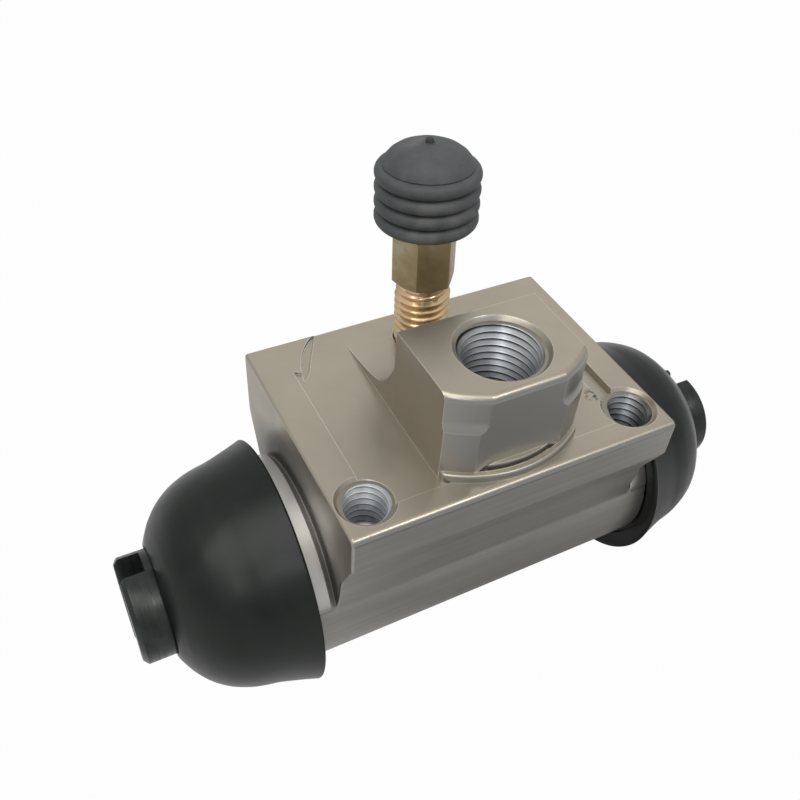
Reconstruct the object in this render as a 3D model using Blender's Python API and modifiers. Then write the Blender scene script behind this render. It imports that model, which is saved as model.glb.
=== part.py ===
"""Drum-brake wheel cylinder: an alloy body with two opposed pistons, dust boots,
a threaded pipe port and a bleed screw under a rubber cap.

Units are metres, +Z is up. The origin is the middle of the mounting face,
above the middle of the bore. X runs along the bore and -Y is the side of
the pipe port.
"""

import math

import bmesh
import bpy
from mathutils import Matrix, Vector

# Body casting
BODY_LENGTH = 0.0428        # along the bore, between the two end faces
BORE_DEPTH = 0.0210         # bore axis below the mounting face
BORE_DIAMETER = 0.01905
BARREL_WALL = 0.003675      # from the bore to the outside of the barrel
FLANGE_OVERHANG = 0.0029    # how far the flange stands out past the barrel, each side
FRONT_EDGE = 0.0052         # height of the upright edge on the port side
BACK_EDGE = 0.0096          # height of the upright edge on the bleed side
FLANK_DROP = 0.0053         # height over which the front flank slopes in steeply
FLANK_INSET = 0.0026        # how far it comes in over that height
FLANK_ANGLE = 18.0          # degrees above level where the flanks meet the barrel
FLANK_ROUND = 0.0056        # radius in the corners of the flanks
EDGE_BREAK = 0.0004         # small bevel on the edges of the flange
POCKET_DEPTH = 0.00025      # milled step in the mounting face
POCKET_MARGIN = 0.0031      # unmilled strip along the front edge

SPIGOT_STAND = 0.00015      # turned end's radius over the barrel's, which keeps its drawn skin
SPIGOT_LENGTH = 0.0070      # turned end that carries a dust boot
BEAD_GROOVE_DEPTH = 0.0011  # groove that holds the boot's bead
BEAD_GROOVE_WIDTH = 0.0018
BEAD_COVER = 0.0004         # rubber between the boot's rim and its bead
BORE_CHAMFER = 0.0007

# Pilot and port boss
PILOT_MARGIN = 0.0009       # flange left outside the round seat that centres the cylinder
PILOT_HEIGHT = 0.0015
BOSS_WIDTH = 0.0180         # along the bore, pilot and boss alike
BOSS_HEIGHT = 0.0119        # above the mounting face
BOSS_CORNER_INSET = 0.0009  # turned corners of the boss, in from the pilot's edge
BOSS_FLAT_INSET = 0.0016    # front flat of the boss, in from the pilot's edge
BOSS_BACK = 0.0002          # from the bore's mid-plane to the boss's back face
BOSS_FOOT_FILLET = 0.0018
BOSS_EDGE_ROUND = 0.0006

PORT_OFFSET = 0.0004        # port axis from the body's middle, along the bore
PORT_WALL = 0.0017          # between the port and the front flat
PORT_DIAMETER = 0.0100      # thread M10 x 1
PORT_DEPTH = 0.0090
PORT_RIM_CHAMFER = 0.00045
PORT_FEED_DIAMETER = 0.0030  # drilling from the port into the bore

# Mounting holes
HOLE_DIAMETER = 0.0060      # thread M6, one near each front corner
HOLE_FROM_END = 0.00375     # hole axis from the end face
HOLE_FROM_FRONT = 0.0047    # hole axis from the flange's front edge
HOLE_DEPTH = 0.0072
HOLE_RIM_CHAMFER = 0.00035
DRILL_ANGLE = 118.0         # degrees, point left by the drill

# Pistons
RUNNING_GAP = 0.0003        # between pieces that move or seat on each other
PISTON_BARREL = 0.0170      # length of the part that runs in the bore
PISTON_SETBACK = 0.0104     # from the end face in to the piston's inner face
NOSE_DIAMETER = 0.0134
NOSE_REACH = 0.0220         # from the end face out to the piston's outer end
RIGHT_SET_IN = 0.0010       # how much further in the right piston sits, its boot with it
NOSE_CHAMFER = 0.0006
SLOT_WIDTH = 0.0040         # takes the brake shoe's web
SLOT_DEPTH = 0.0031
SLOT_TILT = 18.0            # degrees from upright, towards the bleed side

# Seals and spring
CUP_LENGTH = 0.0052
CUP_WALL = 0.0014
CUP_BASE = 0.0022
EXPANDER_THICKNESS = 0.0008
EXPANDER_DIAMETER = 0.0135
SPRING_WIRE = 0.0010
SPRING_DIAMETER = 0.0098    # to the middle of the wire
SPRING_TURNS = 4.5

# Dust boots
BOOT_GAP = 0.0028           # bare spigot between the end face and the boot
BOOT_REACH = 0.0180         # from the end face to the boot's outer end
BOOT_LIP_INSET = 0.0002     # the boot's rim, its widest part, inside the flange's edge
BOOT_FLARE = 0.0014         # how much wider the rim is than the shoulder
BOOT_CROWN_RADIUS = 0.0115
BOOT_WALL = 0.0012
BOOT_RIM_DEPTH = 0.0006     # how far the rim is rounded in

# Bleed screw and cap
BLEED_OFFSET = 0.0006       # axis from the body's middle, along the bore
BLEED_CLEAR = 0.00105       # axis outside the bore's side, at the mounting face
BLEED_LEAN = 4.0            # degrees, the screw's top leans to the back
BLEED_THREAD = 0.0070       # thread M7 x 1
BLEED_THREAD_DEPTH = 0.0006
BLEED_STEM_TOP = 0.0087     # underside of the hexagon, above the mounting face
BLEED_NECK = 0.0006         # relief under the hexagon
BLEED_HEX = 0.0070          # across the flats
BLEED_HEX_HEIGHT = 0.0073
BLEED_HEX_TURN = 49.6       # degrees from X to a corner of the hexagon
BLEED_SEAT_DEPTH = 0.0085   # below the mounting face, tip of the screw's cone
BLEED_TIP_DIAMETER = 0.0022
BLEED_FEED_DIAMETER = 0.0024
BLEED_NIPPLE_DIAMETER = 0.0052
BLEED_NIPPLE_HEIGHT = 0.0085
BLEED_BORE_DIAMETER = 0.0020

CAP_RADIUS = 0.0062
CAP_RIBS = 4
CAP_RIB_PITCH = 0.00181
CAP_RIB_DEPTH = 0.0006
CAP_DOME_RADIUS = 0.0051
CAP_DOME_HEIGHT = 0.0025
CAP_NIB_DIAMETER = 0.0010
CAP_NIB_HEIGHT = 0.0006

STEPS = 36                  # facets round a large turned piece
SMALL_STEPS = 24            # facets round a small one

# Sizes that follow from the ones above
HALF = BODY_LENGTH / 2
BORE_RADIUS = BORE_DIAMETER / 2
BORE_Z = -BORE_DEPTH
BARREL_RADIUS = BORE_RADIUS + BARREL_WALL
SPIGOT_RADIUS = BARREL_RADIUS + SPIGOT_STAND
FLANGE_HALF = BARREL_RADIUS + FLANGE_OVERHANG
PILOT_RADIUS = FLANGE_HALF - PILOT_MARGIN
BOSS_FRONT = PILOT_RADIUS - BOSS_FLAT_INSET
BOSS_CORNER_RADIUS = PILOT_RADIUS - BOSS_CORNER_INSET
PORT_SETBACK = BOSS_FRONT - PORT_WALL - PORT_DIAMETER / 2
HOLE_X = HALF - HOLE_FROM_END
HOLE_Y = HOLE_FROM_FRONT - FLANGE_HALF
PISTON_RADIUS = BORE_RADIUS - RUNNING_GAP
PISTON_START = HALF - PISTON_SETBACK
NOSE_RADIUS = NOSE_DIAMETER / 2
NOSE_END = HALF + NOSE_REACH
BEAD_GROOVE_SETBACK = BOOT_GAP + BEAD_COVER
BOOT_LIP_RADIUS = FLANGE_HALF - BOOT_LIP_INSET
BOOT_SHOULDER_RADIUS = BOOT_LIP_RADIUS - BOOT_FLARE
BLEED_SETBACK = BORE_RADIUS + BLEED_CLEAR
CAP_FOOT = BLEED_STEM_TOP + BLEED_HEX_HEIGHT


def clear_scene():
    for obj in list(bpy.data.objects):
        bpy.data.objects.remove(obj, do_unlink=True)


def collection(name, hidden=False):
    made = bpy.data.collections.new(name)
    bpy.context.scene.collection.children.link(made)
    made.hide_render = hidden
    return made


def material(name, colour, roughness, metallic):
    made = bpy.data.materials.new(name)
    made.use_nodes = True
    shader = made.node_tree.nodes["Principled BSDF"]
    shader.inputs["Base Color"].default_value = (*colour, 1.0)
    shader.inputs["Roughness"].default_value = roughness
    shader.inputs["Metallic"].default_value = metallic
    made.diffuse_color = (*colour, 1.0)
    return made


def add_object(name, data, group, surface=None):
    obj = bpy.data.objects.new(name, data)
    group.objects.link(obj)
    if surface is not None:
        data.materials.append(surface)
    return obj


def as_cutter(obj):
    obj.hide_render = True
    obj.display_type = "WIRE"
    return obj


def fillet(before, corner, after, radius, steps=5):
    """Points of an arc that rounds the corner of a flat outline."""
    a = (Vector(before) - Vector(corner)).normalized()
    b = (Vector(after) - Vector(corner)).normalized()
    half_angle = a.angle(b) / 2
    reach = radius / math.tan(half_angle)
    centre = Vector(corner) + (a + b).normalized() * (radius / math.sin(half_angle))
    start = Vector(corner) + a * reach - centre
    sweep = start.angle_signed(Vector(corner) + b * reach - centre)
    points = []
    for i in range(steps + 1):
        turned = start.copy()
        turned.rotate(Matrix.Rotation(-sweep * i / steps, 2))
        points.append(tuple(centre + turned))
    return points


def arc(centre, radius, start, end, steps):
    """Points from one angle to another, in degrees, both ends included."""
    points = []
    for i in range(steps + 1):
        angle = math.radians(start + (end - start) * i / steps)
        points.append((centre[0] + radius * math.cos(angle), centre[1] + radius * math.sin(angle)))
    return points


def mesh_from(obj, name, group, surface=None):
    """A mesh object with the evaluated shape of another, which is removed."""
    graph = bpy.context.evaluated_depsgraph_get()
    mesh = bpy.data.meshes.new_from_object(obj.evaluated_get(graph))
    mesh.name = name
    work = bmesh.new()
    work.from_mesh(mesh)
    bmesh.ops.remove_doubles(work, verts=work.verts, dist=1e-6)
    bmesh.ops.recalc_face_normals(work, faces=work.faces)
    work.to_mesh(mesh)
    work.free()
    mesh.materials.clear()
    place = obj.matrix_world.copy()
    bpy.data.objects.remove(obj, do_unlink=True)
    made = add_object(name, mesh, group, surface)
    made.matrix_world = place
    return made


def extruded(name, outline, thickness, group, surface=None, matrix=None):
    """A flat outline, extruded by half the thickness each way."""
    curve = bpy.data.curves.new(name, "CURVE")
    curve.dimensions = "2D"
    curve.fill_mode = "BOTH"
    curve.extrude = thickness / 2
    spline = curve.splines.new("POLY")
    spline.points.add(len(outline) - 1)
    for point, (x, y) in zip(spline.points, outline):
        point.co = (x, y, 0.0, 1.0)
    spline.use_cyclic_u = True
    guide = add_object(name, curve, group)
    if matrix is not None:
        guide.matrix_world = matrix
    bpy.context.view_layer.update()
    return mesh_from(guide, name, group, surface)


def turned(name, profile, group, surface=None, steps=STEPS, loop=False):
    """A profile of (radius, height) points turned about Z.

    It runs down the outer side. An open profile starts and ends on the axis,
    and a loop closes on itself, as a ring's section does.
    """
    mesh = bpy.data.meshes.new(name)
    work = bmesh.new()
    points = [work.verts.new((radius, 0.0, height)) for radius, height in profile]
    for first, second in zip(points, points[1:]):
        work.edges.new((first, second))
    if loop:
        work.edges.new((points[-1], points[0]))
    work.to_mesh(mesh)
    work.free()
    obj = add_object(name, mesh, group, surface)
    screw = obj.modifiers.new("Turn", "SCREW")
    screw.axis = "Z"
    screw.steps = steps
    screw.render_steps = steps
    screw.use_merge_vertices = True
    screw.merge_threshold = 0.00001
    screw.use_smooth_shade = True
    return obj


def boolean(obj, other, operation):
    modifier = obj.modifiers.new(operation.title(), "BOOLEAN")
    modifier.operation = operation
    modifier.solver = "EXACT"
    modifier.object = other
    return modifier


def along_bore(side, set_in=0.0):
    """Turns a piece made about Z so that its top faces out of the bore."""
    place = Matrix.Translation((-side * set_in, 0.0, BORE_Z))
    return place @ Matrix.Rotation(side * math.pi / 2, 4, "Y")


def along_bleed():
    """Stands a piece made about Z on the bleed screw's leaning axis."""
    place = Matrix.Translation((BLEED_OFFSET, BLEED_SETBACK, 0.0))
    return place @ Matrix.Rotation(-math.radians(BLEED_LEAN), 4, "X")


def set_in(side):
    """How much further in than the left one a side's piston sits."""
    return RIGHT_SET_IN if side > 0 else 0.0


def smooth(obj, angle=35.0):
    obj.data.shade_smooth()
    obj.data.set_sharp_from_angle(angle=math.radians(angle))


def drilled(name, radius, top, depth, chamfer, group, overrun=0.001, steps=SMALL_STEPS):
    """A drill's shape with a countersink at the mouth, point down."""
    tip = radius / math.tan(math.radians(DRILL_ANGLE / 2))
    wide = radius + chamfer
    profile = [
        (0.0, top + overrun),
        (wide, top + overrun),
        (wide, top),
        (radius, top - chamfer),
        (radius, top - depth),
        (0.0, top - depth - tip),
    ]
    return turned(name, profile, group, steps=steps)


def body_section():
    """Outline across the bore, as (y, z): flange, two flanks and the barrel."""
    half = FLANGE_HALF
    angle = math.radians(FLANK_ANGLE)
    foot_y = BARREL_RADIUS * math.cos(angle)
    foot_z = BORE_Z + BARREL_RADIUS * math.sin(angle)
    front_top = (-half, -FRONT_EDGE)
    bend = (-half + FLANK_INSET, -FRONT_EDGE - FLANK_DROP)
    points = [(-half, 0.0), (half, 0.0)]
    points += fillet((half, 0.0), (half, -BACK_EDGE), (foot_y, foot_z), FLANK_ROUND)
    points += arc((0.0, BORE_Z), BARREL_RADIUS, FLANK_ANGLE, -180.0 - FLANK_ANGLE, 37)
    points += fillet((-foot_y, foot_z), bend, front_top, FLANK_ROUND)
    points.append(front_top)
    return points


def disc_between_planes(radius, half_width, steps=14):
    """Outline of a disc whose two sides are cut off along Y."""
    edge = math.degrees(math.acos(half_width / radius))
    return arc((0.0, 0.0), radius, edge, 180.0 - edge, steps) + arc(
        (0.0, 0.0), radius, 180.0 + edge, 360.0 - edge, steps
    )


def boss_side():
    """Outline of the port boss seen along the bore, as (y, z)."""
    floor = PILOT_HEIGHT
    back = -BOSS_BACK
    front = -BOSS_FRONT
    r = BOSS_EDGE_ROUND
    points = [(front, -0.001)]
    points += fillet((front, 0.0), (front, BOSS_HEIGHT), (back, BOSS_HEIGHT), r, 3)
    points.append((back, BOSS_HEIGHT))
    points += fillet((back, BOSS_HEIGHT), (back, floor), (back + BOSS_HEIGHT, floor), BOSS_FOOT_FILLET)
    points.append((back + BOSS_FOOT_FILLET, -0.001))
    return points


def make_body(parts, cutters, alloy):
    # An outline drawn in local X and Y stands across the bore after this turn.
    across = Matrix(((0, 0, 1, 0), (1, 0, 0, 0), (0, 1, 0, 0), (0, 0, 0, 1)))
    end = HALF + SPIGOT_LENGTH
    body = extruded("cylinder_body", body_section(), 2 * end, parts, alloy, across)

    # Each end is turned down from the full section. The underside of the barrel
    # is already smaller than the turned end, so it stays as drawn.
    groove = HALF + BEAD_GROOVE_SETBACK
    r = SPIGOT_RADIUS
    clear = 2 * FLANGE_HALF
    section = [
        (clear, end + 0.001),
        (clear, HALF),
        (r, HALF),
        (r, groove),
        (r - BEAD_GROOVE_DEPTH, groove),
        (r - BEAD_GROOVE_DEPTH, groove + BEAD_GROOVE_WIDTH),
        (r, groove + BEAD_GROOVE_WIDTH),
        (r, end - EDGE_BREAK),
        (r - EDGE_BREAK, end),
        (r - EDGE_BREAK, end + 0.001),
    ]
    for side, label in ((-1, "left"), (1, "right")):
        turning = as_cutter(turned(f"{label}_end_turning", section, cutters, loop=True))
        turning.matrix_world = along_bore(side)
        boolean(body, turning, "DIFFERENCE")

    pilot = extruded(
        "pilot",
        disc_between_planes(PILOT_RADIUS, BOSS_WIDTH / 2),
        PILOT_HEIGHT + 0.001,
        cutters,
        matrix=Matrix.Translation((0.0, 0.0, (PILOT_HEIGHT - 0.001) / 2)),
    )
    as_cutter(pilot)

    boss = extruded("port_boss", boss_side(), BOSS_WIDTH, cutters, matrix=across)
    as_cutter(boss)
    turn = BOSS_CORNER_RADIUS
    corner = as_cutter(
        turned(
            "boss_corners",
            [
                (0.0, BOSS_HEIGHT + 0.001),
                (turn - BOSS_EDGE_ROUND, BOSS_HEIGHT + 0.001),
                (turn - BOSS_EDGE_ROUND, BOSS_HEIGHT),
                (turn, BOSS_HEIGHT - BOSS_EDGE_ROUND),
                (turn, -0.002),
                (0.0, -0.002),
            ],
            cutters,
            steps=2 * STEPS,
        )
    )
    boolean(boss, corner, "INTERSECT")

    # Milled step: the strips under the two bolts and along the front stay high.
    pocket = extruded(
        "milled_step",
        milled_outline(),
        POCKET_DEPTH + 0.001,
        cutters,
        matrix=Matrix.Translation((0.0, 0.0, (0.001 - POCKET_DEPTH) / 2)),
    )
    boolean(body, as_cutter(pocket), "DIFFERENCE")
    boolean(body, pilot, "UNION")
    boolean(body, boss, "UNION")

    # Bore, open at both ends, with a lead-in for the seals.
    wide = BORE_RADIUS + BORE_CHAMFER
    lead = end - BORE_CHAMFER
    bore = as_cutter(
        turned(
            "bore",
            [
                (0.0, end + 0.001),
                (wide, end + 0.001),
                (wide, end),
                (BORE_RADIUS, lead),
                (BORE_RADIUS, -lead),
                (wide, -end),
                (wide, -end - 0.001),
                (0.0, -end - 0.001),
            ],
            cutters,
        )
    )
    bore.matrix_world = along_bore(1)
    boolean(body, bore, "DIFFERENCE")

    # Pipe port, with its drilling down into the bore.
    port = as_cutter(
        turned(
            "port",
            [
                (0.0, BOSS_HEIGHT + 0.001),
                (PORT_DIAMETER / 2 + PORT_RIM_CHAMFER, BOSS_HEIGHT + 0.001),
                (PORT_DIAMETER / 2 + PORT_RIM_CHAMFER, BOSS_HEIGHT),
                (PORT_DIAMETER / 2, BOSS_HEIGHT - PORT_RIM_CHAMFER),
                (PORT_DIAMETER / 2, BOSS_HEIGHT - PORT_DEPTH),
                (PORT_FEED_DIAMETER / 2, BOSS_HEIGHT - PORT_DEPTH),
                (PORT_FEED_DIAMETER / 2, BORE_Z + BORE_RADIUS / 3),
                (0.0, BORE_Z + BORE_RADIUS / 3),
            ],
            cutters,
            steps=SMALL_STEPS,
        )
    )
    port.location = (PORT_OFFSET, -PORT_SETBACK, 0.0)
    boolean(body, port, "DIFFERENCE")

    for side, label in ((-1, "left"), (1, "right")):
        hole = as_cutter(
            drilled(
                f"{label}_bolt_hole",
                HOLE_DIAMETER / 2,
                0.0,
                HOLE_DEPTH,
                HOLE_RIM_CHAMFER,
                cutters,
            )
        )
        hole.location = (side * HOLE_X, HOLE_Y, 0.0)
        boolean(body, hole, "DIFFERENCE")

    # Bleed hole: a threaded part, a cone that the screw's tip closes, and a drilling.
    thread = BLEED_THREAD / 2 + RUNNING_GAP
    cone = thread - BLEED_FEED_DIAMETER / 2
    bleed = as_cutter(
        turned(
            "bleed_hole",
            [
                (0.0, PILOT_HEIGHT + 0.001),
                (thread, PILOT_HEIGHT + 0.001),
                (thread, -BLEED_SEAT_DEPTH + cone),
                (BLEED_FEED_DIAMETER / 2, -BLEED_SEAT_DEPTH),
                (BLEED_FEED_DIAMETER / 2, BORE_Z + BORE_RADIUS / 4),
                (0.0, BORE_Z + BORE_RADIUS / 4),
            ],
            cutters,
            steps=SMALL_STEPS,
        )
    )
    bleed.matrix_world = along_bleed()
    boolean(body, bleed, "DIFFERENCE")
    smooth(body, 25.0)
    return body


def milled_outline():
    """Outline of the milled step: square at the front, a cutter's arc at the back left."""
    left = -HOLE_X
    right = HOLE_X - POCKET_MARGIN / 10
    front = -FLANGE_HALF + POCKET_MARGIN
    back = FLANGE_HALF + 0.001
    turn = POCKET_MARGIN * 1.6
    points = [(right, front), (right, back)]
    points += [(left + turn, back)]
    points += fillet((left + turn, back), (left, back - turn), (left, front), turn, 4)
    points.append((left, front))
    return points


def piston_profile():
    """Outer side of a piston from its nose to the face behind the seal, as (radius, height)."""
    step = PISTON_START + PISTON_BARREL
    neck = HALF + BOOT_REACH - 2 * BOOT_WALL
    deep = NOSE_RADIUS - BOOT_WALL / 2
    return [
        (0.0, NOSE_END),
        (NOSE_RADIUS - NOSE_CHAMFER, NOSE_END),
        (NOSE_RADIUS, NOSE_END - NOSE_CHAMFER),
        (NOSE_RADIUS, neck + 1.5 * BOOT_WALL),
        (deep, neck + 1.5 * BOOT_WALL),
        (deep, neck),
        (NOSE_RADIUS, neck),
        (NOSE_RADIUS, step + NOSE_CHAMFER),
        (PISTON_RADIUS - NOSE_CHAMFER, step),
        (PISTON_RADIUS, step - NOSE_CHAMFER),
        (PISTON_RADIUS, PISTON_START + NOSE_CHAMFER),
        (PISTON_RADIUS - NOSE_CHAMFER, PISTON_START),
        (0.0, PISTON_START),
    ]


def make_piston(name, side, parts, cutters, steel):
    piston = turned(name, piston_profile(), parts, steel)
    piston.matrix_world = along_bore(side, set_in(side))
    bpy.ops.mesh.primitive_cube_add(size=1.0)
    slot = bpy.context.object
    slot.name = f"{name}_slot"
    for group in list(slot.users_collection):
        group.objects.unlink(slot)
    cutters.objects.link(slot)
    as_cutter(slot)
    slot.data.transform(Matrix.Diagonal((2 * SLOT_DEPTH, SLOT_WIDTH, 2 * NOSE_DIAMETER, 1.0)))
    slot.location = (side * (NOSE_END - set_in(side)), 0.0, BORE_Z)
    slot.rotation_euler = (-math.radians(SLOT_TILT), 0.0, 0.0)
    boolean(piston, slot, "DIFFERENCE")
    return piston


def cup_profile():
    """Section of a cup seal, lips towards the middle of the bore."""
    top = PISTON_START - RUNNING_GAP
    low = top - CUP_LENGTH
    inner = PISTON_RADIUS - CUP_WALL
    return [
        (0.0, top),
        (PISTON_RADIUS - CUP_WALL / 2, top),
        (PISTON_RADIUS, top - CUP_BASE / 2),
        (PISTON_RADIUS, low),
        (PISTON_RADIUS - CUP_WALL / 3, low),
        (inner, top - CUP_BASE - CUP_WALL / 2),
        (inner - CUP_WALL / 2, top - CUP_BASE),
        (0.0, top - CUP_BASE),
    ]


def expander_profile():
    """A shallow steel dish that spreads the cup and seats the spring."""
    top = PISTON_START - RUNNING_GAP - CUP_BASE - RUNNING_GAP
    seat = top - EXPANDER_THICKNESS
    outer = EXPANDER_DIAMETER / 2
    rim = seat - EXPANDER_THICKNESS
    return [
        (0.0, top),
        (outer, top),
        (outer, rim),
        (outer - EXPANDER_THICKNESS, rim),
        (outer - EXPANDER_THICKNESS, seat),
        (0.0, seat),
    ]


def make_spring(parts, steel):
    """Coil with one flat turn at each end, between the two expanders."""
    seat = PISTON_START - 2 * RUNNING_GAP - CUP_BASE - EXPANDER_THICKNESS
    length = 2 * (seat - RUNNING_GAP) - RIGHT_SET_IN - SPRING_WIRE
    radius = SPRING_DIAMETER / 2
    per_turn = 16
    count = round(SPRING_TURNS * per_turn)
    points = []
    for i in range(count + 1):
        angle = 2 * math.pi * i / per_turn
        turn = i / per_turn
        closed = SPRING_WIRE * 1.15
        free = max(SPRING_TURNS - 2.0, 0.5)
        if turn < 1.0:
            rise = closed * turn
        elif turn > SPRING_TURNS - 1.0:
            rise = length - closed * (SPRING_TURNS - turn)
        else:
            rise = closed + (length - 2 * closed) * (turn - 1.0) / free
        points.append((radius * math.cos(angle), radius * math.sin(angle), rise - length / 2))
    curve = bpy.data.curves.new("return_spring", "CURVE")
    curve.dimensions = "3D"
    curve.bevel_depth = SPRING_WIRE / 2
    curve.bevel_resolution = 2
    curve.use_fill_caps = True
    spline = curve.splines.new("POLY")
    spline.points.add(len(points) - 1)
    for point, position in zip(spline.points, points):
        point.co = (*position, 1.0)
    spring = add_object("return_spring", curve, parts, steel)
    spring.matrix_world = along_bore(1, RIGHT_SET_IN / 2)
    return spring


def boot_profile(side):
    """Section of a dust boot as a closed loop, outer end first."""
    gap = RUNNING_GAP
    neck = HALF + BOOT_REACH - set_in(side)
    rim = HALF + BOOT_GAP
    lip = BOOT_LIP_RADIUS
    shoulder = BOOT_SHOULDER_RADIUS
    crown = BOOT_CROWN_RADIUS
    wall = BOOT_WALL
    span = neck - rim
    # The outside, from the neck round the crown and down the skirt to the rim.
    mouth = NOSE_RADIUS + gap
    outer = [
        (mouth + 0.45 * wall, neck),
        (mouth + 0.9 * wall, neck - 0.15 * wall),
        (crown - 0.20 * crown, neck - 0.06 * span),
        (crown - 0.10 * crown, neck - 0.105 * span),
        (crown, neck - 0.17 * span),
        (crown + 0.40 * (shoulder - crown), neck - 0.27 * span),
        (crown + 0.72 * (shoulder - crown), neck - 0.38 * span),
        (crown + 0.90 * (shoulder - crown), neck - 0.50 * span),
        (shoulder, neck - 0.62 * span),
        (shoulder + 0.56 * (lip - shoulder), neck - 0.82 * span),
        (lip, rim + BOOT_RIM_DEPTH * 0.6),
        (lip - 0.4 * BOOT_RIM_DEPTH, rim),
    ]
    # The inside: over the spigot, a bead in its groove, then the hollow bellows.
    groove = HALF + BEAD_GROOVE_SETBACK
    bead_deep = SPIGOT_RADIUS - BEAD_GROOVE_DEPTH + gap
    bead_low = groove + gap
    bead_high = groove + BEAD_GROOVE_WIDTH - gap
    end = HALF + SPIGOT_LENGTH + gap
    on_spigot = SPIGOT_RADIUS + gap
    inner = [
        (on_spigot + BOOT_RIM_DEPTH, rim),
        (on_spigot, rim + 0.25 * (bead_low - rim)),
        (on_spigot, bead_low),
        (bead_deep, bead_low),
        (bead_deep, bead_high),
        (on_spigot, bead_high),
        (on_spigot, end),
        (shoulder - wall, end + wall),
        (crown + 0.80 * (shoulder - crown) - wall, neck - 0.46 * span),
        (crown + 0.50 * (shoulder - crown) - wall, neck - 0.36 * span),
        (crown - 0.3 * wall - wall, neck - 0.24 * span),
        (mouth + 0.9 * wall, neck - 2.2 * wall),
        (NOSE_RADIUS + gap, neck - 2.0 * wall),
    ]
    # The inner lip sits in the piston's groove.
    deep = NOSE_RADIUS - wall / 2 + gap
    floor = neck - 2 * wall + gap
    top = neck - wall / 2 - gap
    lip_in = [(NOSE_RADIUS + gap, floor), (deep, floor), (deep, top), (NOSE_RADIUS + gap, top)]
    return outer + inner + lip_in + [(NOSE_RADIUS + gap, neck - 0.1 * wall)]


def make_boot(name, side, parts, rubber):
    boot = turned(name, boot_profile(side), parts, rubber, loop=True)
    boot.matrix_world = along_bore(side)
    return boot


def make_bleed_screw(parts, cutters, brass):
    thread = BLEED_THREAD / 2
    neck = thread - BLEED_THREAD_DEPTH
    tip = BLEED_TIP_DIAMETER / 2
    cone = thread - tip
    low = -BLEED_SEAT_DEPTH + 2 * RUNNING_GAP
    nipple = BLEED_NIPPLE_DIAMETER / 2
    top = BLEED_STEM_TOP + BLEED_HEX_HEIGHT
    height = top + BLEED_NIPPLE_HEIGHT
    stem = [
        (0.0, height),
        (nipple - 0.5 * EDGE_BREAK, height),
        (nipple, height - 0.5 * EDGE_BREAK),
        (nipple, height - 0.35 * BLEED_NIPPLE_HEIGHT),
        (nipple - EDGE_BREAK, height - 0.45 * BLEED_NIPPLE_HEIGHT),
        (nipple - EDGE_BREAK, top - BLEED_NECK),
        (neck, top - BLEED_NECK),
        (neck, BLEED_STEM_TOP - BLEED_NECK),
        (thread, BLEED_STEM_TOP - BLEED_NECK - BLEED_THREAD_DEPTH),
        (thread, low + cone),
        (tip, low),
        (0.0, low),
    ]
    screw = turned("bleed_screw", stem, parts, brass, steps=SMALL_STEPS)
    screw.matrix_world = along_bleed()

    # The hexagon, with its corners turned off at both ends.
    across = BLEED_HEX / math.cos(math.radians(30.0)) / 2
    corners = arc((0.0, 0.0), across, BLEED_HEX_TURN, BLEED_HEX_TURN + 300.0, 5)
    middle = Matrix.Translation((0.0, 0.0, BLEED_STEM_TOP + BLEED_HEX_HEIGHT / 2))
    hexagon = as_cutter(
        extruded("bleed_hexagon", corners, BLEED_HEX_HEIGHT, cutters, matrix=along_bleed() @ middle)
    )
    chamfer = across - BLEED_HEX / 2
    rounding = as_cutter(
        turned(
            "hexagon_turning",
            [
                (0.0, top + 0.0001),
                (BLEED_HEX / 2 - 0.0001, top + 0.0001),
                (BLEED_HEX / 2 - 0.0001, top),
                (across + 0.0001, top - 0.6 * chamfer),
                (across + 0.0001, BLEED_STEM_TOP + 0.6 * chamfer),
                (BLEED_HEX / 2 - 0.0001, BLEED_STEM_TOP),
                (BLEED_HEX / 2 - 0.0001, BLEED_STEM_TOP - 0.0001),
                (0.0, BLEED_STEM_TOP - 0.0001),
            ],
            cutters,
            steps=SMALL_STEPS,
        )
    )
    rounding.matrix_world = along_bleed()
    boolean(hexagon, rounding, "INTERSECT")
    boolean(screw, hexagon, "UNION")

    # Bleed passage: up the middle, with a cross drilling above the cone.
    hole = BLEED_BORE_DIAMETER / 2
    cross_height = low + cone + 2 * BLEED_BORE_DIAMETER
    passage = as_cutter(
        turned(
            "bleed_passage",
            [
                (0.0, height + 0.001),
                (hole, height + 0.001),
                (hole, cross_height),
                (0.0, cross_height),
            ],
            cutters,
            steps=16,
        )
    )
    passage.matrix_world = along_bleed()
    boolean(screw, passage, "DIFFERENCE")
    cross = as_cutter(
        turned(
            "bleed_cross_drilling",
            [
                (0.0, 2 * thread),
                (0.6 * hole, 2 * thread),
                (0.6 * hole, -2 * thread),
                (0.0, -2 * thread),
            ],
            cutters,
            steps=12,
        )
    )
    level = Matrix.Translation((0.0, 0.0, cross_height + 0.8 * hole))
    cross.matrix_world = along_bleed() @ level @ Matrix.Rotation(math.pi / 2, 4, "X")
    boolean(screw, cross, "DIFFERENCE")
    smooth(screw)
    return screw


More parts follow.
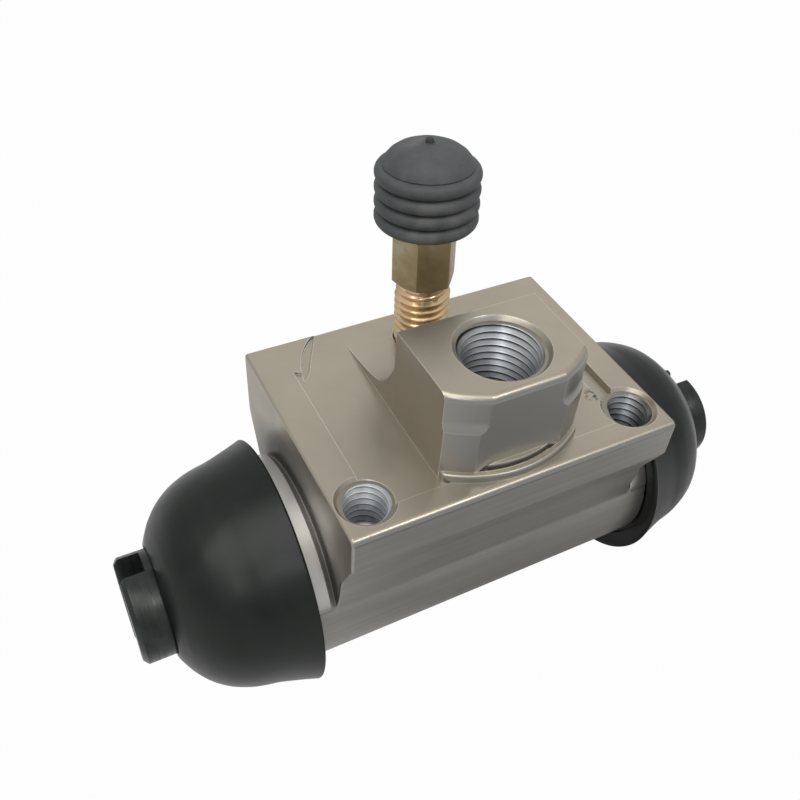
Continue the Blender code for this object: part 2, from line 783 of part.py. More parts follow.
def cap_profile():
    """Section of the bleed cap as a closed loop: nib, dome, ribs, foot, inside."""
    gap = RUNNING_GAP
    foot = CAP_FOOT + gap
    valley = CAP_RADIUS - CAP_RIB_DEPTH
    first = foot + 0.15 * CAP_RIB_PITCH
    ribs_top = first + CAP_RIBS * CAP_RIB_PITCH
    dome_top = ribs_top + CAP_DOME_HEIGHT
    nib = CAP_NIB_DIAMETER / 2
    points = [(0.0, dome_top + CAP_NIB_HEIGHT), (nib, dome_top + CAP_NIB_HEIGHT), (nib, dome_top)]
    lift = CAP_DOME_HEIGHT * 0.62
    for i in range(1, 7):
        angle = math.radians(90.0 - 15.0 * i)
        points.append(
            (
                max(CAP_DOME_RADIUS * math.cos(angle) ** 0.8, nib),
                dome_top - lift + lift * math.sin(angle),
            )
        )
    points.append((CAP_DOME_RADIUS, ribs_top + 0.2 * CAP_RIB_PITCH))
    for i in range(CAP_RIBS):
        high = ribs_top - i * CAP_RIB_PITCH
        points += [
            (valley, high),
            (CAP_RADIUS - 0.3 * CAP_RIB_DEPTH, high - 0.2 * CAP_RIB_PITCH),
            (CAP_RADIUS, high - 0.5 * CAP_RIB_PITCH),
            (CAP_RADIUS - 0.3 * CAP_RIB_DEPTH, high - 0.8 * CAP_RIB_PITCH),
        ]
    points += [(valley, first), (valley - CAP_RIB_DEPTH, foot)]
    # The inside follows the nipple.
    nipple = BLEED_NIPPLE_DIAMETER / 2 + gap
    high = CAP_FOOT + BLEED_NIPPLE_HEIGHT + gap
    points += [(nipple, foot), (nipple, high), (0.0, high)]
    return points


def make_cap(parts, rubber):
    cap = turned("bleed_cap", cap_profile(), parts, rubber, steps=SMALL_STEPS)
    return cap


def main():
    clear_scene()
    parts = collection("wheel_cylinder")
    cutters = collection("cutters", hidden=True)
    alloy = material("machined_alloy", (0.42, 0.40, 0.37), 0.38, 1.0)
    steel = material("dark_phosphated_steel", (0.045, 0.048, 0.045), 0.35, 0.8)
    spring_steel = material("spring_steel", (0.45, 0.45, 0.44), 0.35, 1.0)
    rubber = material("boot_rubber", (0.018, 0.020, 0.019), 0.30, 0.0)
    cap_rubber = material("cap_rubber", (0.065, 0.070, 0.075), 0.55, 0.0)
    brass = material("yellow_passivated_steel", (0.62, 0.44, 0.16), 0.32, 1.0)
    seal_rubber = material("seal_rubber", (0.02, 0.02, 0.02), 0.5, 0.0)

    make_body(parts, cutters, alloy)
    make_spring(parts, spring_steel)
    for side, label in ((-1, "left"), (1, "right")):
        make_piston(f"{label}_piston", side, parts, cutters, steel)
        cup = turned(f"{label}_cup_seal", cup_profile(), parts, seal_rubber, steps=SMALL_STEPS)
        cup.matrix_world = along_bore(side, set_in(side))
        dish = turned(f"{label}_cup_expander", expander_profile(), parts, spring_steel, steps=SMALL_STEPS)
        dish.matrix_world = along_bore(side, set_in(side))
        make_boot(f"{label}_boot", side, parts, rubber)
    screw = make_bleed_screw(parts, cutters, brass)
    cap = make_cap(parts, cap_rubber)
    # The cap's own frame is the screw's, so it leans with it.
    cap.parent = screw


main()
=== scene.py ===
"""Fine meshes, materials, stage and camera for the wheel cylinder."""

import math

import bmesh
import bpy
from mathutils import Matrix, Vector


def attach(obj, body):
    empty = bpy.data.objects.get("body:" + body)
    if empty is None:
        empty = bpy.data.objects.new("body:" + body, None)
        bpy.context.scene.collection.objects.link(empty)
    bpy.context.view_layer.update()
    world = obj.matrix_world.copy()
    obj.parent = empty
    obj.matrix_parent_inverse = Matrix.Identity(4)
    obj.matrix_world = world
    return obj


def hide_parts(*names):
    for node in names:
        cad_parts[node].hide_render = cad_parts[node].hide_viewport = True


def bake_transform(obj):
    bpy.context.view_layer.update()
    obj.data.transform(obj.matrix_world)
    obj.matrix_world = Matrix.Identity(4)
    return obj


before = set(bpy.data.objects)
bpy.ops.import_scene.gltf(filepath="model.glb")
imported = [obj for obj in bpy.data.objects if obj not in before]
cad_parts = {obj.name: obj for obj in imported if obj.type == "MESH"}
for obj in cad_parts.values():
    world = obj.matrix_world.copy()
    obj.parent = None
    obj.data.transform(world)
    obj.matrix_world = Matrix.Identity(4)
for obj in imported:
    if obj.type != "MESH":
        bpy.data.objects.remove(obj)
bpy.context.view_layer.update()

MM = 0.001

# Sizes in millimetres and angles in degrees. The main ones follow the CAD model.

# Body: section, turned ends and bore
HALF = 21.4
BORE_Z = -21.0
BORE = 9.525
BARREL = 13.2
FLANGE = 32.2
FRONT_EDGE = 5.2
BACK_EDGE = 9.6
FLANK_DROP = 5.3
FLANK_INSET = 2.6
FLANK_ANGLE = 18.0
FLANK_FILLET = 5.6
SPIGOT = 13.35
SPIGOT_END = HALF + 7.0
UNDERCUT = SPIGOT - 0.5

# Pilot and port boss
PILOT = 15.2
BOSS_HALF = 9.0
BOSS_TOP = 11.9
BOSS_FRONT = 13.6
BOSS_TURN = 14.3
BOSS_BACK = 0.2

# Holes, as places in x and y and radii at the thread's root
PORT = (0.4, -6.9)
PORT_ROOT = 5.06
HOLE_X = 17.65
HOLE_Y = -11.4
HOLE_ROOT = 3.06
BLEED = (0.6, 10.575)
BLEED_LEAN = 4.0
THREAD_PITCH = 1.0
THREAD_DEPTH = 0.52

# Bleed screw and its cap
SCREW_ROOT = 2.9
SCREW_THREAD = 0.58
HEX_ACROSS = 7.0
HEX_FOOT = 8.7
HEX_TOP = 16.0
HEX_TURN = 49.6
CAP_FOOT = HEX_TOP + 0.3
CAP_RIBS = 4
CAP_PITCH = 1.81
CAP_FIRST = CAP_FOOT + 0.25
CAP_TOP = CAP_FIRST + CAP_RIBS * CAP_PITCH
CAP_DOME = CAP_TOP + 2.5

# Pistons, with the slots for the brake shoes
NOSE_END = 43.4
NOSE = 6.7
PISTON = 9.225
PISTON_INNER = 11.0
SHOULDER = 28.0
RIGHT_SET_IN = 1.0
SHOE_SLOT = (6.2, 4.0, 27.0)
SHOE_SLOT_TILT = -18.0

# Boots: the gap beside the flange, the body's groove and the pistons' necks
BOOT_GAP = 2.8
GROOVE = HALF + BOOT_GAP + 0.4
GROOVE_WIDTH = 1.8
GROOVE_DEPTH = 1.1
NECK = HALF + 18.0

# Return spring
SPRING_WIRE = 1.0
SPRING_DIAMETER = 9.8
SPRING_TURNS = 4.5
SPRING_LENGTH = 12.2

# Floor, as a height below the flange's face
FLOOR_Z = -36.95


# Outlines


def unit(value):
    """The value, kept between 0 and 1."""
    return min(1.0, max(0.0, value))


def arc(centre, radius, start, end, steps):
    points = []
    for i in range(steps + 1):
        angle = math.radians(start + (end - start) * i / steps)
        points.append((centre[0] + radius * math.cos(angle), centre[1] + radius * math.sin(angle)))
    return points


def fillet(before, corner, after, radius, steps):
    """The arc that rounds a corner between its two neighbours."""
    a = (Vector(before) - Vector(corner)).normalized()
    b = (Vector(after) - Vector(corner)).normalized()
    half_angle = a.angle(b) / 2
    reach = radius / math.tan(half_angle)
    centre = Vector(corner) + (a + b).normalized() * (radius / math.sin(half_angle))
    start = Vector(corner) + a * reach - centre
    sweep = start.angle_signed(Vector(corner) + b * reach - centre)
    points = []
    for i in range(steps + 1):
        turned = start.copy()
        turned.rotate(Matrix.Rotation(-sweep * i / steps, 2))
        points.append(tuple(centre + turned))
    return points


def round_corners(points, rounds):
    """Rounds an outline's corners; rounds gives a radius for a point's index."""
    out = []
    for i, point in enumerate(points):
        if i in rounds:
            out += fillet(points[i - 1], point, points[i + 1], rounds[i], 6)
        else:
            out.append(point)
    return out


def resample(points, most):
    """Splits long stretches of an outline, so that shading and wear have points to work with."""
    out = [points[0]]
    for p, q in zip(points, points[1:]):
        count = max(1, math.ceil(math.dist(p, q) / most))
        for i in range(1, count + 1):
            out.append((p[0] + (q[0] - p[0]) * i / count, p[1] + (q[1] - p[1]) * i / count))
    return out


def catmull(points, per):
    """A smooth curve through an outline's points, with that many steps between two of them."""
    p = [Vector(q) for q in points]
    p = [2 * p[0] - p[1]] + p + [2 * p[-1] - p[-2]]
    out = []
    for i in range(1, len(p) - 2):
        a, b, c, d = p[i - 1 : i + 3]
        for k in range(per):
            t = k / per
            q = 2 * b + (c - a) * t
            q += (2 * a - 5 * b + 4 * c - d) * t**2
            q += (3 * b - a - 3 * c + d) * t**3
            out.append(tuple(0.5 * q))
    out.append(tuple(p[-2]))
    return out


def circle(radius, height, steps):
    """Points round the Z axis."""
    angles = [2 * math.pi * j / steps for j in range(steps)]
    return [(radius * math.cos(a), radius * math.sin(a), height) for a in angles]


# Meshes


def link_object(name, data):
    obj = bpy.data.objects.new(name, data)
    bpy.context.scene.collection.objects.link(obj)
    return obj


def mesh_object(name, verts, faces):
    """A mesh from points in millimetres, welded and facing outwards."""
    mesh = bpy.data.meshes.new(name)
    mesh.from_pydata([tuple(MM * c for c in v) for v in verts], [], faces)
    mesh.update()
    work = bmesh.new()
    work.from_mesh(mesh)
    bmesh.ops.remove_doubles(work, verts=work.verts, dist=2e-7)
    bmesh.ops.recalc_face_normals(work, faces=work.faces)
    work.to_mesh(mesh)
    work.free()
    return link_object(name, mesh)


def bmesh_object(name, work):
    mesh = bpy.data.meshes.new(name)
    work.to_mesh(mesh)
    work.free()
    return link_object(name, mesh)


def lathe(name, profile, steps=128, loop=False):
    """A (radius, height) outline turned about Z, closed at the axis or as a ring."""
    verts = []
    rows = []
    for radius, height in profile:
        points = circle(radius, height, steps) if radius > 0 else [(0.0, 0.0, height)]
        rows.append(range(len(verts), len(verts) + len(points)))
        verts += points
    pairs = list(zip(rows, rows[1:]))
    if loop:
        pairs.append((rows[-1], rows[0]))
    faces = []
    for upper, lower in pairs:
        if len(upper) == 1 and len(lower) == 1:
            continue
        for j in range(steps):
            k = (j + 1) % steps
            if len(upper) == 1:
                faces.append((upper[0], lower[j], lower[k]))
            elif len(lower) == 1:
                faces.append((upper[j], lower[0], upper[k]))
            else:
                faces.append((upper[j], lower[j], lower[k], upper[k]))
    return mesh_object(name, verts, faces)


def prism(name, outline, low, high):
    """A flat (x, y) outline between two heights."""
    n = len(outline)
    verts = [(x, y, low) for x, y in outline] + [(x, y, high) for x, y in outline]
    faces = [tuple(range(n)), tuple(range(n, 2 * n))]
    faces += [(i, (i + 1) % n, n + (i + 1) % n, n + i) for i in range(n)]
    return mesh_object(name, verts, faces)


def across_bore(name, outline, low, high):
    """A flat (y, z) outline between two values of x."""
    turn = Matrix(((0, 0, 1, 0), (1, 0, 0, 0), (0, 1, 0, 0), (0, 0, 0, 1)))
    return bake(prism(name, outline, low, high), turn)


def along_flange(name, outline, low, high):
    """A flat (x, z) outline between two values of y."""
    return bake(prism(name, outline, -high, -low), Matrix.Rotation(math.pi / 2, 4, "X"))


def tube(name, verts, around):
    """Closed rows of points joined into a skin, with a flat face at each end."""
    faces = [tuple(range(around)), tuple(range(len(verts) - around, len(verts)))]
    for start in range(0, len(verts) - around, around):
        for i in range(around):
            j = (i + 1) % around
            faces.append((start + i, start + j, start + around + j, start + around + i))
    return mesh_object(name, verts, faces)


def thread_rows(low, high, steps, breaks, radius_at):
    """Rows of points that follow a right-hand helix between two heights.

    breaks are the shares of the pitch at which the thread has its edges.
    Returns the points, column by column, the faces between them, and the
    number of points in a column.
    """
    heights = []
    turn = math.floor(low / THREAD_PITCH) - 1
    while turn * THREAD_PITCH < high + THREAD_PITCH:
        heights += [(turn + b) * THREAD_PITCH for b in breaks]
        turn += 1
    count = len(heights)
    verts = []
    for j in range(steps):
        share = j / steps
        for height in heights:
            z = min(high, max(low, height + share * THREAD_PITCH))
            r = radius_at((z / THREAD_PITCH - share) % 1.0, z)
            a = 2 * math.pi * share
            verts.append((r * math.cos(a), r * math.sin(a), z))
    faces = []
    for j in range(steps):
        for i in range(count - 1):
            here = j * count + i
            if j + 1 < steps:
                beside = (here + count, here + count + 1)
            else:
                # After a whole turn the rows meet those of the next pitch.
                beside = (min(count - 1, i + len(breaks)), min(count - 1, i + 1 + len(breaks)))
            faces.append((here, here + 1, beside[1], beside[0]))
    return verts, faces, count


def internal_thread(name, root, low, high):
    """A sleeve whose inside is a right-hand thread, set in the wall of its hole."""
    steps = 128
    rise, fall = 0.12, 0.72
    sleeve = root + 0.25

    def radius_at(phase, _):
        tooth = phase / rise if phase < rise else max(0.0, 1.0 - (phase - rise) / fall)
        return root - THREAD_DEPTH * tooth

    breaks = [0.0, 0.06, 0.12, 0.18, 0.36, 0.54, 0.72, 0.84, 0.92]
    verts, faces, count = thread_rows(low, high, steps, breaks, radius_at)
    wall = len(verts)
    top = wall + steps
    verts += circle(sleeve, low, steps) + circle(sleeve, high, steps)
    for j in range(steps):
        k = (j + 1) % steps
        faces.append((j * count, k * count, wall + k, wall + j))
        faces.append((wall + j, wall + k, top + k, top + j))
        faces.append((top + j, top + k, k * count + count - 1, j * count + count - 1))
    return mesh_object(name, verts, faces)


def apply_all(obj):
    """Turns the object's modifiers into its mesh."""
    graph = bpy.context.evaluated_depsgraph_get()
    mesh = bpy.data.meshes.new_from_object(obj.evaluated_get(graph))
    old = obj.data
    obj.modifiers.clear()
    obj.data = mesh
    mesh.name = old.name
    bpy.data.meshes.remove(old)
    return obj


def combine(obj, other, operation):
    modifier = obj.modifiers.new("Boolean", "BOOLEAN")
    modifier.operation = operation
    modifier.solver = "EXACT"
    modifier.object = other
    apply_all(obj)
    bpy.data.objects.remove(other, do_unlink=True)
    return obj


def bevel(obj, width, segments, angle):
    modifier = obj.modifiers.new("Bevel", "BEVEL")
    modifier.width = width * MM
    modifier.segments = segments
    modifier.limit_method = "ANGLE"
    modifier.angle_limit = math.radians(angle)
    modifier.use_clamp_overlap = True
    modifier.miter_outer = "MITER_SHARP"
    return apply_all(obj)


def shade(obj, angle):
    obj.data.shade_smooth()
    obj.data.set_sharp_from_angle(angle=math.radians(angle))


def shade_flat_faces(obj, angle):
    """Smooth shading in which the large flat faces stay flat."""
    shade(obj, angle)
    modifier = obj.modifiers.new("Normals", "WEIGHTED_NORMAL")
    modifier.mode = "FACE_AREA"
    modifier.weight = 100
    modifier.keep_sharp = True
    return apply_all(obj)


# Places


def bake(obj, matrix):
    """Puts a place into the object's mesh."""
    obj.data.transform(matrix)
    return obj


def move(obj, x, y):
    return bake(obj, Matrix.Translation((x * MM, y * MM, 0.0)))


def along_bore(side, inward=0.0):
    place = Matrix.Translation((-side * inward * MM, 0.0, BORE_Z * MM))
    return place @ Matrix.Rotation(side * math.pi / 2, 4, "Y")


def along_bleed():
    place = Matrix.Translation((BLEED[0] * MM, BLEED[1] * MM, 0.0))
    return place @ Matrix.Rotation(-math.radians(BLEED_LEAN), 4, "X")


def set_in(side):
    """The right piston rests a little further in than the left one."""
    return RIGHT_SET_IN if side > 0 else 0.0


# Body casting


def body_section():
    """Outline across the bore, as (y, z), split into short steps all round."""
    half = FLANGE / 2
    angle = math.radians(FLANK_ANGLE)
    foot = (BARREL * math.cos(angle), BORE_Z + BARREL * math.sin(angle))
    front_top = (-half, -FRONT_EDGE)
    bend = (-half + FLANK_INSET, -FRONT_EDGE - FLANK_DROP)
    points = fillet((-half, -2.0), (-half, 0.0), (0.0, 0.0), 0.75, 6)
    points += fillet((0.0, 0.0), (half, 0.0), (half, -2.0), 0.45, 4)
    points += fillet((half, 0.0), (half, -BACK_EDGE), foot, FLANK_FILLET, 12)
    points += arc((0.0, BORE_Z), BARREL, FLANK_ANGLE, -180.0 - FLANK_ANGLE, 120)
    points += fillet((-foot[0], foot[1]), bend, front_top, FLANK_FILLET, 10)
    points += fillet(bend, front_top, (-half, 0.0), 1.2, 6)
    return resample(points + [points[0]], 0.55)[:-1]


def section_normals(points):
    """The outward direction at each point of the section."""
    out = []
    for i, point in enumerate(points):
        a, b = points[i - 1], points[(i + 1) % len(points)]
        normal = Vector((b[1] - a[1], a[0] - b[0])).normalized()
        outward = Vector((point[0], point[1] - BORE_Z))
        out.append(normal if normal.dot(outward) > 0 else -normal)
    return out


def loft_body():
    """The full section, turned down at both ends, with a rounded edge on the end faces.

    The underside of the barrel is already smaller than the turned end, so it
    runs on under the boots with its drawn skin.
    """
    section = body_section()
    normals = section_normals(section)
    edge = 0.38
    chamfer = 0.45
    bed = SPIGOT - GROOVE_DEPTH
    foot = BARREL * math.sin(math.radians(FLANK_ANGLE))
    # Each ring is an x, the largest radius (None for the full section) and an inset.
    rings = [
        (SPIGOT_END, SPIGOT - chamfer, 0.0),
        (SPIGOT_END - chamfer, SPIGOT, 0.0),
        (GROOVE + GROOVE_WIDTH, SPIGOT, 0.0),
        (GROOVE + GROOVE_WIDTH, bed, 0.0),
        (GROOVE, bed, 0.0),
        (GROOVE, SPIGOT, 0.0),
        (HALF + 0.75, SPIGOT, 0.0),
        (HALF + 0.65, SPIGOT - 0.08, 0.0),
        (HALF + 0.6, UNDERCUT, 0.0),
        (HALF, UNDERCUT, 0.0),
    ]
    for i in range(5):
        turn = math.radians(90.0 - 22.5 * i)
        rings.append((HALF - edge * (1 - math.sin(turn)), None, edge * (1 - math.cos(turn))))
    rings += [(14.0, None, 0.0), (7.0, None, 0.0)]
    rings += [(0.0, None, 0.0)] + [(-x, most, inset) for x, most, inset in reversed(rings)]
    verts = []
    for x, most, inset in rings:
        for (y, z), normal in zip(section, normals):
            z -= BORE_Z
            reach = math.hypot(y, z)
            if most is None:
                share = unit((reach - SPIGOT) / 0.9)
                y, z = y - normal[0] * inset * share, z - normal[1] * inset * share
            elif most == UNDERCUT:
                # It fades out where the barrel is no wider than the turned end.
                wall = min(reach, SPIGOT)
                share = unit((z - foot) / 1.5)
                scale = (wall + (UNDERCUT - wall) * share) / reach
                y, z = y * scale, z * scale
            elif reach > most:
                y, z = y * most / reach, z * most / reach
            verts.append((x, y, z + BORE_Z))
    return tube("body_casting", verts, len(section))


def mill_flange(body):
    """The shallow milled step, which runs out to the right, and the gouge along its arc."""
    left, right, front, back = -17.2, 20.2, -13.0, 17.1
    outer = catmull(
        [
            (-10.6, 16.9), (-11.83, 16.15), (-13.01, 15.34), (-14.21, 14.06),
            (-15.10, 12.69), (-15.80, 11.26), (-16.15, 9.96),
        ],
        3,
    )
    inner = catmull(
        [(-12.25, 15.54), (-13.23, 13.64), (-14.24, 11.82), (-15.16, 10.02), (-16.0, 8.9)],
        4,
    )
    outline = [(right, front), (right, back), (-10.6, back)] + outer
    outline += [(left + 0.1, 10.4), (left, front)]
    step = prism("milled_step", outline, 0.0, 1.0)
    for vert in step.data.vertices:
        if vert.co.z < 0.5 * MM:
            share = (vert.co.x / MM - left) / (right - left)
            vert.co.z = (-0.36 + 0.38 * share) * MM
    combine(body, step, "DIFFERENCE")

    # The gouge is deeper on its inner side.
    gouge = prism("cutter_gouge", outer[4:] + [(-16.38, 8.76)] + inner[::-1], -0.62, 1.0)
    for vert in gouge.data.vertices:
        x, y = vert.co.x / MM, vert.co.y / MM
        if vert.co.z < 0 and min(math.dist((x, y), q) for q in outer) < 0.01:
            vert.co.z = -0.37 * MM
    combine(body, gouge, "DIFFERENCE")


def front_of_disc(radius, half_width):
    """The front part of a disc, cut off at both sides."""
    edge = math.degrees(math.acos(half_width / radius))
    front = arc((0.0, 0.0), radius, 180.0 + edge, 360.0 - edge, 60)
    return front + [(half_width, -2.0), (-half_width, -2.0)]


def add_pilot(body):
    """The pilot: a turned ring edge with the plain crescent inside it."""
    outside, inside = PILOT - 0.66, PILOT - 1.0
    ring = prism("pilot_ring", front_of_disc(PILOT + 0.1, BOSS_HALF - 0.05), -1.0, 1.05)
    bevel(ring, 0.46, 6, 50.0)
    groove = [(outside, 2.0), (outside, 0.9), (PILOT - 0.8, 0.6), (inside, 0.6), (inside, 2.0)]
    combine(ring, lathe("pilot_groove", groove, 160, loop=True), "DIFFERENCE")
    combine(body, ring, "UNION")
    crescent = prism("pilot_middle", front_of_disc(inside, BOSS_HALF - 0.1), 0.2, 1.62)
    bevel(crescent, 0.12, 2, 50.0)
    combine(body, crescent, "UNION")


def boss_plan():
    """The boss from above: a flat front between two turned corners."""
    side = math.sqrt(BOSS_TURN**2 - BOSS_HALF**2)
    flat = math.sqrt(BOSS_TURN**2 - BOSS_FRONT**2)
    start = math.degrees(math.atan2(-side, -BOSS_HALF))
    end = math.degrees(math.atan2(-BOSS_FRONT, -flat))
    left = arc((0.0, 0.0), BOSS_TURN, start, end, 12)
    right = [(-x, y) for x, y in reversed(left)]
    return [(BOSS_HALF, -BOSS_BACK), (-BOSS_HALF, -BOSS_BACK)] + left + right


def boss_shelf():
    """The lower part of the turned corners, a little proud of the upper part."""
    proud, low, rise = 0.4, 7.0, 1.45
    profile = [(0.0, -0.5), (BOSS_TURN + proud, -0.5)]
    for i in range(9):
        share = i / 8
        profile.append((BOSS_TURN + proud * (1 - share) ** 2.2, low + rise * share))
    profile += [(BOSS_TURN - 0.3, 8.6), (0.0, 8.6)]
    sides = [
        (-BOSS_HALF, -BOSS_FRONT), (BOSS_HALF, -BOSS_FRONT), (BOSS_HALF, -8.0), (-BOSS_HALF, -8.0),
    ]
    return combine(lathe("boss_shelf", profile, 160), prism("box", sides, -0.4, 9.0), "INTERSECT")


def add_boss(body):
    """The boss, rounded along its front top edge, with the shelf on its corners."""
    boss = prism("boss_block", boss_plan(), -0.6, BOSS_TOP)
    work = bmesh.new()
    work.from_mesh(boss.data)
    top_edges = []
    for edge in work.edges:
        lowest = min(v.co.z for v in edge.verts) / MM
        rearmost = max(v.co.y for v in edge.verts) / MM
        if lowest > BOSS_TOP - 0.01 and rearmost < -10.0:
            top_edges.append(edge)
    bmesh.ops.bevel(
        work,
        geom=top_edges,
        offset=0.9 * MM,
        segments=8,
        profile=0.5,
        affect="EDGES",
        clamp_overlap=True,
    )
    work.to_mesh(boss.data)
    work.free()
    bevel(boss, 0.13, 2, 60.0)
    combine(boss, boss_shelf(), "UNION")
    combine(body, boss, "UNION")


def add_foot(body):
    """The long foot behind the boss, running out into the flange."""
    side = BOSS_HALF - 0.03
    curve = catmull(
        [
            (15.6, -0.42), (13.0, -0.27), (10.6, 0.0), (8.0, 0.4), (5.6, 0.9),
            (3.8, 1.5), (2.5, 2.4), (1.4, 3.6), (0.6, 5.0), (-0.6, 7.2),
        ],
        5,
    )
    outline = [(-1.2, -1.2), (15.6, -1.2)] + curve + [(-1.2, 7.2)]
    combine(body, across_bore("boss_foot", outline, -side, side), "UNION")


def cut_holes(body):
    """The bore, the port, both bolt holes and the leaning bleed hole."""
    end = SPIGOT_END
    chamfer = 0.7
    wide = BORE + chamfer
    bore = [
        (0.0, end + 1), (wide, end + 1), (wide, end), (BORE, end - chamfer),
        (BORE, -end + chamfer), (wide, -end), (wide, -end - 1), (0.0, -end - 1),
    ]
    combine(body, bake(lathe("bore", bore), along_bore(1)), "DIFFERENCE")

    drilling = 1.5
    port = [
        (0.0, BOSS_TOP + 1), (5.55, BOSS_TOP + 1), (5.55, BOSS_TOP - 0.02),
        (5.42, BOSS_TOP - 0.14), (PORT_ROOT, BOSS_TOP - 0.62), (PORT_ROOT, BOSS_TOP - 9.0),
        (4.2, BOSS_TOP - 9.4), (drilling, BOSS_TOP - 9.0), (drilling, BORE_Z + 3.0),
        (0.0, BORE_Z + 3.0),
    ]
    combine(body, move(lathe("port", port), *PORT), "DIFFERENCE")

    bolt_hole = [
        (0.0, 1.0), (3.5, 1.0), (3.5, -0.02), (HOLE_ROOT, -0.5), (HOLE_ROOT, -7.2), (0.0, -9.0),
    ]
    for side in (-1, 1):
        hole = lathe("bolt_hole", bolt_hole, 96)
        combine(body, move(hole, side * HOLE_X, HOLE_Y), "DIFFERENCE")

    bleed = [
        (0.0, 3.0), (4.1, 3.0), (3.6, 0.3), (3.6, -5.9),
        (1.2, -8.5), (1.2, BORE_Z + 2.4), (0.0, BORE_Z + 2.4),
    ]
    combine(body, bake(lathe("bleed_hole", bleed, 96), along_bleed()), "DIFFERENCE")


def make_body():
    body = loft_body()
    mill_flange(body)
    # The slot beside the boss runs out into the right bolt hole.
    slot = [(15.2, 0.5), (15.2, -0.16), (15.9, -0.95), (17.3, -0.85), (17.6, 0.02), (17.6, 0.5)]
    combine(body, along_flange("side_slot", slot, -8.9, -1.4), "DIFFERENCE")
    add_pilot(body)
    add_boss(body)
    add_foot(body)
    cut_holes(body)
    return shade_flat_faces(body, 28.0)


# Pistons and boots


def slot_cutter(side):
    """The shoe slot across a piston's nose."""
    work = bmesh.new()
    bmesh.ops.create_cube(work, size=1.0)
    bmesh.ops.scale(work, vec=[MM * size for size in SHOE_SLOT], verts=work.verts)
    tilt = Matrix.Rotation(math.radians(SHOE_SLOT_TILT), 3, "X")
    bmesh.ops.rotate(work, cent=(0, 0, 0), matrix=tilt, verts=work.verts)
    reach = side * (NOSE_END - set_in(side)) * MM
    bmesh.ops.translate(work, vec=(reach, 0, BORE_Z * MM), verts=work.verts)
    return bmesh_object("slot", work)


def make_piston(name, side):
    chamfer = 0.6
    groove = NECK - 2.4
    bed = NOSE - 0.6
    profile = [
        (0.0, NOSE_END),
        (NOSE - 0.65, NOSE_END),
        (NOSE, NOSE_END - 0.55),
        (NOSE, groove + 1.8),
        (bed, groove + 1.8),
        (bed, groove),
        (NOSE, groove),
        (NOSE, SHOULDER + 0.6),
        (PISTON - chamfer, SHOULDER),
        (PISTON, SHOULDER - chamfer),
        (PISTON, PISTON_INNER + chamfer),
        (PISTON - chamfer, PISTON_INNER),
        (0.0, PISTON_INNER),
    ]
    profile = round_corners(profile, {1: 0.25, 2: 0.25, 8: 0.3, 9: 0.3})
    piston = bake(lathe(name, profile), along_bore(side, set_in(side)))
    combine(piston, slot_cutter(side), "DIFFERENCE")
    bevel(piston, 0.12, 2, 40.0)
    shade(piston, 30.0)
    return piston


def make_boot(name, side):
    """A dust boot's section: the crown and skirt outside, a bead and a lip inside."""
    neck = NECK - set_in(side)
    rim = HALF + BOOT_GAP
    skirt = (neck - rim) / 15.2
    outside = catmull(
        [
            (7.30, neck - 0.02),
            (7.75, neck - 0.22),
            (8.60, neck - 0.68),
            (9.75, neck - 1.40),
            (11.40, neck - 2.85),
            (12.80, neck - 4.75 * skirt),
            (13.75, neck - 6.9 * skirt),
            (14.2, neck - 8.6 * skirt),
            (14.55, neck - 10.4 * skirt),
            (15.3, neck - 13.0 * skirt),
            (15.88, neck - 14.8 * skirt),
        ],
        5,
    )
    edge = [(15.93, rim + 0.28), (15.88, rim + 0.12), (15.72, rim + 0.02), (15.4, rim)]
    wall = SPIGOT + 0.3
    bead = SPIGOT - 0.8
    lip, throat = 6.42, 6.98
    inside = [
        (14.9, rim + 0.05), (14.2, rim + 0.2), (wall + 0.05, rim + 0.3), (wall, rim + 0.45),
        (wall, GROOVE + 0.3), (bead, GROOVE + 0.3), (bead, GROOVE + 1.5), (wall, GROOVE + 1.5),
        (wall, SPIGOT_END + 0.3), (13.4, SPIGOT_END + 1.3),
        (12.7, neck - 7.1 * skirt), (11.8, neck - 5.6 * skirt),
        (9.95, neck - 3.7), (7.7, neck - 2.65), (throat, neck - 2.4),
        (throat, neck - 2.1), (lip, neck - 2.1), (lip, neck - 0.9), (throat, neck - 0.9),
        (throat, neck - 0.2), (7.1, neck - 0.06),
    ]
    boot = bake(lathe(name, outside + edge + inside, 160, loop=True), along_bore(side))
    shade(boot, 38.0)
    return boot


# Bleed screw and cap


